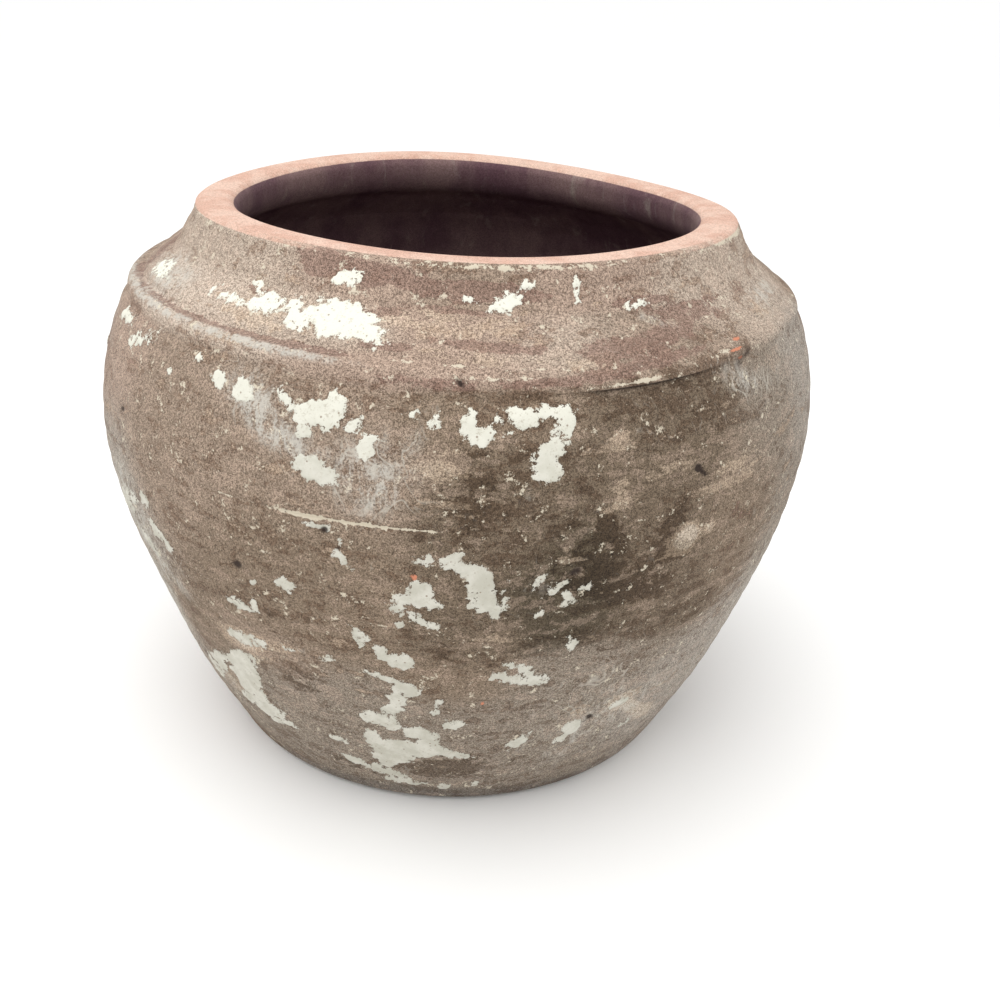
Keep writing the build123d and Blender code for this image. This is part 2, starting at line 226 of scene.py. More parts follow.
# The clay's broad colours before lighting, each with the places where it shows, though the cream band along
# the left ridge also paints part of its highlight:
# (azimuth, height, half width, half height)
CREAM = (200, 185, 170)
PALE_TAN = (185, 170, 155)
TAN = (170, 150, 135)
FAWN = (155, 138, 122)
BROWN = (138, 122, 105)
UMBER = (118, 104, 88)
OLIVE = (90, 80, 65)
ASH = (148, 137, 124)
PALE_ASH = (166, 158, 148)
FOOT_GREY = (125, 118, 110)
TONE_PLACES = [
    # The second cream place, along the bead of the left ridge, also paints part of its highlight.
    (CREAM, [(-52, 257, 42, 7), (-50, 246, 60, 4)]),
    (PALE_TAN, [(-50, 274, 44, 9), (-26, 256, 26, 7), (15, 255, 24, 6), (56, 266, 44, 14)]),
    (TAN, [(-18, 274, 30, 8), (4, 258, 26, 6), (22, 274, 24, 7), (-10, 246, 48, 4), (-66, 220, 34, 28)]),
    (FAWN, [(0, 272, 24, 7), (30, 252, 36, 8), (-42, 200, 40, 34), (-18, 208, 34, 20), (-30, 104, 24, 14)]),
    (BROWN, [(4, 230, 26, 10), (-24, 150, 40, 32), (44, 174, 26, 34), (-46, 98, 24, 20), (0, 104, 24, 14)]),
    (UMBER, [(4, 196, 24, 26), (30, 212, 34, 24), (29, 160, 24, 30), (2, 130, 18, 16), (33, 130, 22, 13)]),
    (OLIVE, [(16, 154, 24, 24)]),
    (ASH, [(60, 160, 28, 34), (50, 208, 26, 20), (22, 104, 34, 14), (-20, 74, 60, 22), (18, 66, 50, 24),
           (-30, 30, 56, 16), (16, 28, 52, 16)]),
    (PALE_ASH, [(-63, 160, 30, 36), (-63, 92, 28, 34), (62, 100, 32, 32), (44, 56, 34, 32),
                (66, 206, 26, 28)]),
    (FOOT_GREY, [(0, 7, 60, 5)]),
]
TONES = [(*place, *colour) for colour, places in TONE_PLACES for place in places]
TONE_LEVEL = 0.95
BACK_TONES = (
    (168, 150, 134), (146, 128, 111), (124, 109, 92), (150, 137, 122), (140, 122, 110), (160, 150, 138),
)


def scattered(seed, count, low, high, size, strength):
    """The same kind of list for the pot's back, made at random within those heights and sizes."""
    rng = np.random.default_rng(seed)
    rows = []
    for _ in range(count):
        half_width = rng.uniform(*size)
        azimuth, height = rng.uniform(*BACK), rng.uniform(low, high)
        half_height = half_width * rng.uniform(0.35, 0.9)
        lean = rng.uniform(-40, 40)
        rows.append((azimuth, height, half_width, half_height, lean, rng.uniform(*strength)))
    return rows


def broken_up(flakes, seed):
    """The same flakes, each with smaller ones that have come away round it."""
    rng = np.random.default_rng(seed)
    rows = list(flakes)
    for azimuth, z, half_width, half_height, lean, cover in flakes:
        for _ in range(4):
            size = rng.uniform(0.2, 0.6)
            to_side = azimuth + rng.uniform(-1, 1) * half_width * 0.55
            above = z + rng.uniform(-1.6, 1.6) * half_height
            turned = lean + rng.uniform(-30, 30)
            rows.append((to_side, above, half_width * size, half_height * size, turned, cover - 0.15))
    return rows


BACK_FLAKES = scattered(3, 22, 20, 228, (5, 14), (0.6, 1)) + scattered(4, 7, 254, 268, (4, 12), (0.7, 1))
FLAKES += broken_up(BACK_FLAKES, 13)
FLAKES += scattered(5, 40, 14, 236, (1.5, 4), (0.4, 0.9))
PALE_AREAS += scattered(6, 26, 20, 270, (16, 46), (0.2, 0.7))
DARK_AREAS += scattered(7, 30, 20, 236, (8, 26), (0.4, 1))
PURPLE_AREAS += scattered(8, 18, 200, 278, (10, 26), (0.4, 1))
PURPLE_AREAS += scattered(9, 10, 60, 190, (16, 34), (0.2, 0.5))
HAZE_AND_HIGHLIGHT_AREAS += scattered(10, 22, 20, 240, (10, 40), (0.2, 0.7))
PITS += scattered(11, 12, 30, 240, (0.9, 1.9), (0.6, 1.4))
for number, place in enumerate(scattered(12, 70, 6, 278, (22, 40), (0, 1))):
    TONES.append((*place[:4], *BACK_TONES[number % len(BACK_TONES)]))


# ---------------------------------------------------------------- curves, noise and placed areas


def smooth_curve(points):
    """The natural cubic spline through (height, radius) points, as a function of height."""
    z, r = np.array(points, float).T
    gap, count = np.diff(z), len(z)
    system, right = np.eye(count), np.zeros(count)
    for i in range(1, count - 1):
        system[i, i - 1:i + 2] = gap[i - 1], 2 * (gap[i - 1] + gap[i]), gap[i]
        right[i] = 6 * ((r[i + 1] - r[i]) / gap[i] - (r[i] - r[i - 1]) / gap[i - 1])
    bend = np.linalg.solve(system, right)

    def radius(height):
        i = np.clip(np.searchsorted(z, height) - 1, 0, count - 2)
        before, after, span = height - z[i], z[i + 1] - height, gap[i]
        return (bend[i] * after**3 + bend[i + 1] * before**3) / (6 * span) + (
            r[i] / span - bend[i] * span / 6) * after + (r[i + 1] / span - bend[i + 1] * span / 6) * before

    return radius


outside_radius = smooth_curve(OUTSIDE)
inside_radius = smooth_curve(INSIDE)


def smoothstep(value, low, high):
    t = np.clip((value - low) / (high - low), 0, 1)
    return t * t * (3 - 2 * t)


def lattice(x, y, z, seed):
    """A repeatable pseudo-random number from -1 to 1 for each whole-number point."""
    n = (x * 374761393 + y * 668265263 + z * 2246822519 + seed * 3266489917) & 0xFFFFFFFF
    n = ((n ^ (n >> 13)) * 1274126177) & 0xFFFFFFFF
    n = ((n ^ (n >> 15)) * 2246822519) & 0xFFFFFFFF
    return ((n ^ (n >> 16)) & 0xFFFF) / 32767.5 - 1


def noise(points, size, seed):
    """Smooth noise from -1 to 1 with lumps about size across."""
    scaled = points / size
    cell = np.floor(scaled).astype(np.int64)
    part = scaled - cell
    part = part * part * (3 - 2 * part)
    total = 0
    for corner in itertools.product((0, 1), repeat=3):
        weight = 1
        for axis in range(3):
            weight = weight * (part[..., axis] if corner[axis] else 1 - part[..., axis])
        total = total + weight * lattice(*(cell[..., axis] + corner[axis] for axis in range(3)), seed)
    return total


def distances(turn, z, area):
    """How far each point is from an area's middle, as a share of the area's half size, squared."""
    azimuth, height, half_width, half_height, lean = area[:5]
    turned = (np.degrees(turn) - azimuth + 180) % 360 - 180
    across = np.radians(turned) * outside_radius(height)
    up = z - height
    c, s = math.cos(math.radians(lean)), math.sin(math.radians(lean))
    return ((across * c + up * s) / half_width) ** 2 + ((up * c - across * s) / half_height) ** 2


def covered(turn, z, areas):
    """The strength of the placed areas at each point, each one fading out from its middle."""
    total = np.zeros_like(z)
    for area in areas:
        total += area[-1] * np.exp(-0.8 * distances(turn, z, area))
    return total


# ---------------------------------------------------------------- the clay's shape


def on_axis(turn, radius, z):
    return np.stack([radius * np.sin(turn), -radius * np.cos(turn), z + 0 * turn], -1)


def degrees_from(turn, azimuth):
    return (np.degrees(turn) - azimuth + 180) % 360 - 180


def around(turn, azimuth, spread):
    """1 at an azimuth, falling to 0 over the spread to either side."""
    return np.exp(-((degrees_from(turn, azimuth) / spread) ** 2))


def from_to(turn, start, end):
    """0 before an azimuth and 1 after another, for the front half of the pot."""
    return smoothstep(degrees_from(turn, 0), start, end)


def overhang(turn):
    """Where the collar's edge was left uncut and laps over the upper body, from 0 to 1."""
    right = from_to(turn, 9, 22) * (1 - 0.9 * from_to(turn, 31, 45)) * (1 - from_to(turn, 60, 90))
    return right + 0.7 * around(turn, 205, 30)


def relief(turn, z, at, collar):
    """How far the hand-thrown outside stands out from the true profile."""
    out = 0.7 * noise(at, 85, 1) + 0.28 * noise(at, 26, 2) + 0.06 * noise(at, 3.4, 3)
    drift = noise(at, 60, 4)
    rings = np.sin(2 * math.pi * z / 11.5 + 1.3 * drift + turn) * (0.16 + 0.1 * noise(at, 70, 5))
    tool_marks = np.sin(2 * math.pi * z / 3.7 + 2 * drift) * 0.08 * smoothstep(z, 244, 258)
    out += rings + tool_marks * (1 + noise(at, 40, 6))
    scored = 0.12 + 0.5 * around(turn, -16, 17) + 0.12 * around(turn, 28, 10)
    out -= scored * np.exp(-(((z - SEAM_Z) / 0.85) ** 2))
    out -= (1.25 - 0.8 * overhang(turn)) * np.exp(-(((z - 239.6) / 2.6) ** 2))
    left = smoothstep(np.cos(turn + math.radians(95)), -0.45, 0.5)  # the ridge is crisper on that side
    out -= (0.35 + 1.0 * left) * np.exp(-(((z - 249.7) / 1.2) ** 2))
    out += (0.3 + 0.75 * left) * np.exp(-(((z - 246.0) / 1.9) ** 2))
    out -= 0.3 * left * np.exp(-(((z - 253.5) / 1.0) ** 2))
    for pit in PITS:
        out -= pit[-1] * np.exp(-distances(turn, z, pit))
    if collar:
        out += 1.2 * overhang(turn) * (1 - smoothstep(z, COLLAR_Z, COLLAR_Z + 4.5))
    else:
        out -= 0.7 * overhang(turn) * np.exp(-(((z - COLLAR_Z) / 0.9) ** 2))
    return out


def warp(at):
    """The pot's slight lean and waver towards its rim, as thrown."""
    turn = np.arctan2(at[..., 0], -at[..., 1])
    from_x = turn - math.pi / 2
    top = smoothstep(at[..., 2], 142, RIM_Z)
    rise = -0.0042 * at[..., 0] - 0.7 * np.cos(2 * from_x) - 0.75 * np.sin(2 * from_x)
    rise += 0.65 * np.cos(3 * from_x) - 0.95 * np.sin(3 * from_x)
    out = 0.2 * np.cos(2 * from_x) - 0.5 * np.sin(2 * from_x) - 0.3 * np.cos(3 * from_x)
    joint = -1.3 * around(turn, 14, 30) + 2.4 * around(turn, 52, 20) + 0.9 * around(turn, -62, 34)
    joint = joint * np.exp(-(((at[..., 2] - COLLAR_Z) / 8) ** 2))
    shift = np.stack([1.8 + out * np.sin(turn), -out * np.cos(turn), rise], -1)
    moved = at + shift * top[..., None]
    moved[..., 2] += joint
    return moved


def outside_at(turn, z, collar, lift=0):
    """Points on the clay's outside, or a little off it."""
    radius = outside_radius(z)
    slope = (outside_radius(z + 0.2) - outside_radius(z - 0.2)) / 0.4
    length = np.sqrt(1 + slope**2)
    out = relief(turn, z, on_axis(turn, radius, z), collar) + lift
    return warp(on_axis(turn, radius + out / length, z - out * slope / length))


# ---------------------------------------------------------------- meshes


class Rows:
    """Rings of points joined into a closed mesh, each point with its azimuth, height and zone."""

    def __init__(self):
        self.points, self.turns, self.heights, self.zones = [], [], [], []

    def add(self, points, turn, z, zone):
        self.points.append(points)
        self.turns.append(turn)
        self.heights.append(np.full(len(turn), float(z)))
        self.zones.append(np.full(len(turn), zone))

    def outside(self, heights, collar):
        turn = np.arange(ROUND) * 2 * math.pi / ROUND
        for z in heights:
            self.add(outside_at(turn, np.full(ROUND, z), collar), turn, z, "outside")

    def plain(self, outline, zone, count, wave=0.0):
        """Rings through (radius, height) points, with the inside's throwing rings."""
        turn = np.arange(count) * 2 * math.pi / count
        for radius, z in outline:
            at = on_axis(turn, np.full(count, float(radius)), np.full(count, float(z)))
            rings = np.sin(2 * math.pi * z / 13 + turn + noise(at, 60, 12))
            ripple = wave * (rings + 0.8 * noise(at, 22, 13))
            self.add(warp(on_axis(turn, radius + ripple, np.full(count, float(z)))), turn, z, zone)

    def solid(self, name):
        faces, starts = [], np.cumsum([0] + [len(ring) for ring in self.points])
        for i, ring in enumerate(self.points):
            after = (i + 1) % len(self.points)
            faces += strip(len(ring), len(self.points[after]), starts[i], starts[after])
        made = mesh_object(name, np.concatenate(self.points), faces)
        paint(made, np.concatenate(self.turns), np.concatenate(self.heights), np.concatenate(self.zones))
        return made


def spaced(low, high, step, fine=()):
    """Heights from low to high, step apart, with closer ones inside each (height, reach, step) stretch."""
    heights = [low]
    while heights[-1] < high - 1e-6:
        gap = step
        for middle, reach, close in fine:
            if abs(heights[-1] - middle) < reach:
                gap = close
        heights.append(min(high, heights[-1] + gap))
    if heights[-1] - heights[-2] < 0.3:
        del heights[-2]
    return heights


def arc(middle, radius, start, end, steps):
    """(radius, height) points round part of a circle; angles in degrees from outwards."""
    return [(middle[0] + radius * math.cos(math.radians(a)), middle[1] + radius * math.sin(math.radians(a)))
            for a in np.linspace(start, end, steps)]


def strip(a, b, start, offset):
    """Faces between two neighbouring rings of a and b points: as many, or three times as many."""
    if a == b:
        j = np.arange(a)
        k = (j + 1) % a
        return np.stack([start + j, start + k, offset + k, offset + j], 1).tolist()
    few, many, small, large = (start, offset, a, b) if a < b else (offset, start, b, a)
    faces = []
    for j in range(small):
        k = (j + 1) % small
        m = [many + (3 * j + step) % large for step in range(4)]
        band = [[few + j, m[1], m[0]], [few + j, few + k, m[2], m[1]], [few + k, m[3], m[2]]]
        faces += band if a < b else [face[::-1] for face in band]
    return faces


def mesh_object(name, points, faces):
    """A smooth-shaded object from points in millimetres, its faces turned outwards."""
    mesh = bpy.data.meshes.new(name)
    mesh.from_pydata((points * MM).tolist(), [], faces)
    mesh.update()
    mesh.calc_loop_triangles()
    corners = np.empty(len(mesh.loop_triangles) * 3, int)
    mesh.loop_triangles.foreach_get("vertices", corners)
    a, b, c = (points[corners[i::3]] for i in range(3))
    if np.einsum("ij,ij->i", a, np.cross(b, c)).sum() < 0:
        mesh.flip_normals()
    mesh.polygons.foreach_set("use_smooth", [True] * len(mesh.polygons))
    mesh.set_sharp_from_angle(angle=math.radians(SHARP_EDGE))
    made = bpy.data.objects.new(name, mesh)
    bpy.context.scene.collection.objects.link(made)
    return made


def store(made, name, *columns):
    """Keeps three numbers for each point, for the materials to read."""
    layer = made.data.attributes.new(name, "FLOAT_VECTOR", "POINT")
    layer.data.foreach_set("vector", np.stack(columns, 1).astype(np.float32).ravel())


def linear(value):
    """A colour number as it looks on screen, 0 to 255, as the light-linear number that shaders take."""
    return ((np.asarray(value) / 255 + 0.055) / 1.055) ** 2.4


def broad_colour(turn, z):
    """The clay's broad colour at each point: the placed tones, blended by how near each one is."""
    total, weights = np.zeros((len(z), 3)), np.full(len(z), 1e-6)
    for tone in TONES:
        near = np.exp(-1.5 * distances(turn, z, (*tone[:4], 0)))
        total += near[:, None] * linear(tone[4:7])
        weights += near
    return TONE_LEVEL * (total + 1e-6 * linear(BACK_TONES[0])) / weights[:, None]


def paint(made, turn, z, zones):
    """Stores at every point the broad colour and how strong each placed mark is."""
    store(made, "tone", *broad_colour(turn, z).T)
    out = ((zones == "outside") | (zones == "arris")) * 1.0
    wear_and_shade = [covered(turn, z, areas) * out for areas in (PALE_AREAS, DARK_AREAS, PURPLE_AREAS)]
    store(made, "wear_and_shade", *wear_and_shade)
    films_and_highlight = [covered(turn, z, areas) * out for areas in (HAZE_AND_HIGHLIGHT_AREAS, LIME_LINES, BARE_CHIPS)]
    store(made, "films_and_highlight", *films_and_highlight)
    # Painted shade: each pit, and the crevice under the collar's overlapping edge, is darkened where shade
    # falls in it.
    pits = np.zeros_like(z)
    for pit in PITS:
        pits += min(pit[-1], 1) * np.exp(-0.9 * distances(turn, z, pit))
    pits += 0.85 * overhang(turn) * np.exp(-(((z - COLLAR_Z + 0.2) / 0.5) ** 2)) * (z <= COLLAR_Z)
    lime_cover = flake_cover(turn, z, on_axis(turn, outside_radius(np.clip(z, HEEL_Z, CURVE_TOP_Z)), z))
    patina = 0.2 + 0.8 * around(turn, 8, 42)
    zone = (zones == "rim") * 1.0 + (zones == "inside") * 2.0 + (zones == "arris") * (1 - patina)
    store(made, "marks", pits * out, lime_cover * out - 9 * (1 - out), zone)


def lower_body():
    """Floor, foot and wall up to the scored seam."""
    rows = Rows()
    rows.outside(spaced(HEEL_Z, SEAM_Z, 1.8, [(SEAM_Z, 4, 0.45)]), False)
    rows.plain([(178, SEAM_Z), (inside_radius(SEAM_Z), SEAM_Z)], "inside", ROUND_INSIDE, 0.35)
    wall = [(inside_radius(z), z) for z in np.arange(SEAM_Z - 4, 44, -4)]
    rows.plain(wall, "inside", ROUND_INSIDE, 0.35)
    rows.plain([(128, 44), (124.5, 35), (118.5, 27), (109, 21), (98, 18.4)], "inside", ROUND_INSIDE, 0.2)
    rows.plain([(r, FLOOR_Z) for r in np.arange(90, DRAIN_R + 4, -8)], "inside", ROUND_INSIDE, 0.3)
    drain = [(DRAIN_R + 1, FLOOR_Z), (DRAIN_R, FLOOR_Z - 1), (DRAIN_R, 1), (DRAIN_R + 1, 0)]
    rows.plain(drain + [(r, 0) for r in (20, 40, 60, 80, 100, 116)], "inside", ROUND_INSIDE)
    rows.plain([(FOOT_R, 0), (125.5, 0.35), (128.2, 1.5), (130.2, 3.4), (131.6, 5.8)], "outside", ROUND)
    return rows.solid("lower_body_clay")


def upper_body():
    """The widest ring up to the collar."""
    rows = Rows()
    rows.outside(spaced(SEAM_Z, COLLAR_Z, 0.9, [(SEAM_Z, 3.5, 0.45), (COLLAR_Z, 3.4, 0.45)]), False)
    rows.plain([(163, COLLAR_Z)], "inside", ROUND_INSIDE, 0.35)
    wall = [(inside_radius(z), z) for z in np.linspace(COLLAR_Z, SEAM_Z, 15)]
    rows.plain(wall, "inside", ROUND_INSIDE, 0.35)
    rows.plain([(178, SEAM_Z)], "inside", ROUND_INSIDE, 0.35)
    return rows.solid("upper_body_clay")


def collar():
    """The ridge, the shoulder, the neck and the rim."""
    rows = Rows()
    rows.outside(spaced(COLLAR_Z, 279.5, 0.62), True)
    rows.plain([(135.7, 280.6), (134.8, 281.4), (133.4, 281.85)], "arris", ROUND, 0.05)
    top = [(r, RIM_Z) for r in (131.8, 130, 128, 126, 124)]
    lip_middle = (MOUTH_R + LIP, RIM_Z - LIP)
    rows.plain(top + arc(lip_middle, LIP, 90, 135, 6), "rim", ROUND, 0.05)
    rows.plain(arc(lip_middle, LIP, 144, 180, 5), "inside", ROUND, 0.05)
    under_mouth = [
        (116.1, 273.5), (116.4, 271), (117.1, 268.5), (118.4, 266), (120.4, 263.4), (123.2, 260.6),
    ]
    rows.plain(under_mouth, "inside", ROUND, 0.1)
    below = (257.4, 254, 250.5, 247, 244, COLLAR_Z)
    rows.plain([(inside_radius(z), z) for z in below], "inside", ROUND_INSIDE, 0.35)
    rows.plain([(163, COLLAR_Z)], "inside", ROUND_INSIDE, 0.35)
    return rows.solid("collar_clay")


def flake_cover(turn, z, at):
    """Above 0 where limewash still clings: the flakes' ovals, bent and broken up by noise."""
    sideways = 2.2 * noise(at, 7, 25) + 1.2 * noise(at, 3, 26)
    bent = turn + sideways / outside_radius(np.clip(z, HEEL_Z, CURVE_TOP_Z))
    height = z + 1.2 * noise(at, 6, 27) + 0.8 * noise(at, 2.6, 28)
    best = np.full(z.shape, -9.0)
    for flake in FLAKES:
        inward = (1 - np.sqrt(distances(bent, height, flake))) * min(flake[2], flake[3])
        best = np.maximum(best, np.minimum(inward * 0.42, 0.6) - 0.8 * (1 - flake[-1]))
    near = best > -1.6
    close = at[near]
    rough = 0.36 * noise(close, 4.5, 21) + 0.5 * noise(close, 2.2, 22) + 0.5 * noise(close, 1.3, 23)
    best[near] += rough + 0.2
    return best


def limewash():
    """Every flake as a thin closed shell, its edges feathering into the clay."""
    shells = []
    for low, high, on_collar in ((10, COLLAR_Z - 0.6, False), (COLLAR_Z + 0.6, CURVE_TOP_Z, True)):
        turns = np.arange(FLAKE_COLUMNS) * 2 * math.pi / FLAKE_COLUMNS
        turn, z = np.meshgrid(turns, np.arange(low, high, FLAKE_ROW))
        cover = flake_cover(turn, z, on_axis(turn, outside_radius(z), z))
        shells.append(shell(turn, z, cover, on_collar))
    first, second = shells
    points, turn, z = (np.concatenate([first[i], second[i]]) for i in range(3))
    faces = first[3] + (np.array(second[3]) + len(first[0])).tolist()
    made = mesh_object("limewash_flakes_raised", points, faces)
    paint(made, turn, z, np.full(len(z), "outside"))
    return made


def shell(turn, z, cover, on_collar):
    """A closed shell over the covered grid cells: front, back and the walls round its edge."""
    up = np.clip((cover + 0.12) * 1.6, -FLAKE_DEPTH * 0.8, FLAKE_THICK)
    columns = z.shape[1]
    above = up > -FLAKE_DEPTH * 0.5
    beside = np.roll(above, -1, 1)
    cells = (above | beside)[:-1] | (above | beside)[1:]
    for _ in range(3):  # cells that meet only at a corner would pinch the shell, so the gap is filled
        right = np.roll(cells, -1, 1)
        cells[1:] |= cells[:-1] & right[1:] & ~right[:-1] & ~cells[1:]
        right = np.roll(cells, -1, 1)
        cells[:-1] |= cells[1:] & right[:-1] & ~right[1:] & ~cells[:-1]
    i, j = np.nonzero(cells)
    k = (j + 1) % columns
    quads = np.stack([i * columns + j, i * columns + k, (i + 1) * columns + k, (i + 1) * columns + j], 1)
    used, quads = np.unique(quads, return_inverse=True)
    quads = quads.reshape(-1, 4)
    turn, z, up = turn.ravel()[used], z.ravel()[used], up.ravel()[used]
    rough = 0.05 * noise(on_axis(turn, outside_radius(z), z), 1.6, 24)
    front = outside_at(turn, z, on_collar, up + rough * (up > 0))
    back = outside_at(turn, z, on_collar, -FLAKE_DEPTH - 0.25)
    count = len(used)
    sides = np.concatenate([quads[:, [a, b]] for a, b in ((0, 1), (1, 2), (2, 3), (3, 0))])
    keys = sides.min(1) * count + sides.max(1)
    _, once, times = np.unique(keys, return_index=True, return_counts=True)
    edge = sides[once[times == 1]]
    walls = np.stack([edge[:, 1], edge[:, 0], edge[:, 0] + count, edge[:, 1] + count], 1)
    faces = np.concatenate([quads, quads[:, ::-1] + count, walls])
    return np.concatenate([front, back]), np.tile(turn, 2), np.tile(z, 2), faces.tolist()


# ---------------------------------------------------------------- materials


def tint(red, green, blue):
    return (*linear((red, green, blue)).tolist(), 1.0)


class Surface:
    """A material and short calls for the nodes it is made of."""

    def __init__(self, name, roughness, bump_depth):
        self.material = bpy.data.materials.new(name)
        self.material.use_nodes = True
        self.nodes, self.links = self.material.node_tree.nodes, self.material.node_tree.links
        self.shader = self.nodes["Principled BSDF"]
        self.shader.inputs["Roughness"].default_value = roughness
        self.shader.inputs["Specular IOR Level"].default_value = 0.25
        self.bump_depth = bump_depth
        self.place = self.nodes.new("ShaderNodeTexCoord").outputs["Object"]

    def put(self, kind, values, **settings):
        made = self.nodes.new("ShaderNode" + kind)
        for key, value in settings.items():
            setattr(made, key, value)
        for key, value in values.items():
            if isinstance(value, bpy.types.NodeSocket):
                self.links.new(value, made.inputs[key])
            else:
                made.inputs[key].default_value = value
        return made

    def noise(self, size, detail=3, rough=0.55, stretch=(1, 1, 1), twist=0.0):
        """Noise with lumps about size millimetres across, longer along an axis stretched below 1."""
        scaled = self.put("Mapping", {"Vector": self.place, "Scale": [s / (size * MM) for s in stretch]})
        made = self.put("TexNoise", {"Vector": scaled.outputs[0], "Scale": 1.0, "Detail": detail,
                                     "Roughness": rough, "Distortion": twist})
        return made.outputs["Fac"]

    def spots(self, size):
        """Distance to scattered points about size millimetres apart."""
        scaled = self.put("Mapping", {"Vector": self.place, "Scale": [1 / (size * MM)] * 3})
        return self.put("TexVoronoi", {"Vector": scaled.outputs[0], "Scale": 1.0}).outputs["Distance"]

    def math(self, operation, a, b=0.0):
        return self.put("Math", {0: a, 1: b}, operation=operation).outputs[0]

    def sum(self, *terms):
        """The sum of (value, share) pairs."""
        total = None
        for value, share in terms:
            part = self.math("MULTIPLY", value, share)
            total = part if total is None else self.math("ADD", total, part)
        return total

    def ramp(self, value, low, high, start=0.0, end=1.0):
        limits = {"From Min": low, "From Max": high, "To Min": start, "To Max": end}
        made = self.put("MapRange", {"Value": value, **limits}, interpolation_type="SMOOTHSTEP")
        return made.outputs[0]

    def mix(self, factor, a, b, blend="MIX"):
        made = self.put("Mix", {"Factor": factor, 6: a, 7: b}, data_type="RGBA", blend_type=blend)
        return made.outputs[2]

    def stored(self, name):
        vector = self.put("Attribute", {}, attribute_name=name).outputs["Vector"]
        return vector, self.put("SeparateXYZ", {"Vector": vector}).outputs

    def finish(self, colour, height):
        self.links.new(colour, self.shader.inputs["Base Color"])
        bump = self.put("Bump", {"Strength": 1.0, "Distance": self.bump_depth * MM, "Height": height})
        self.links.new(bump.outputs[0], self.shader.inputs["Normal"])
        return self.material


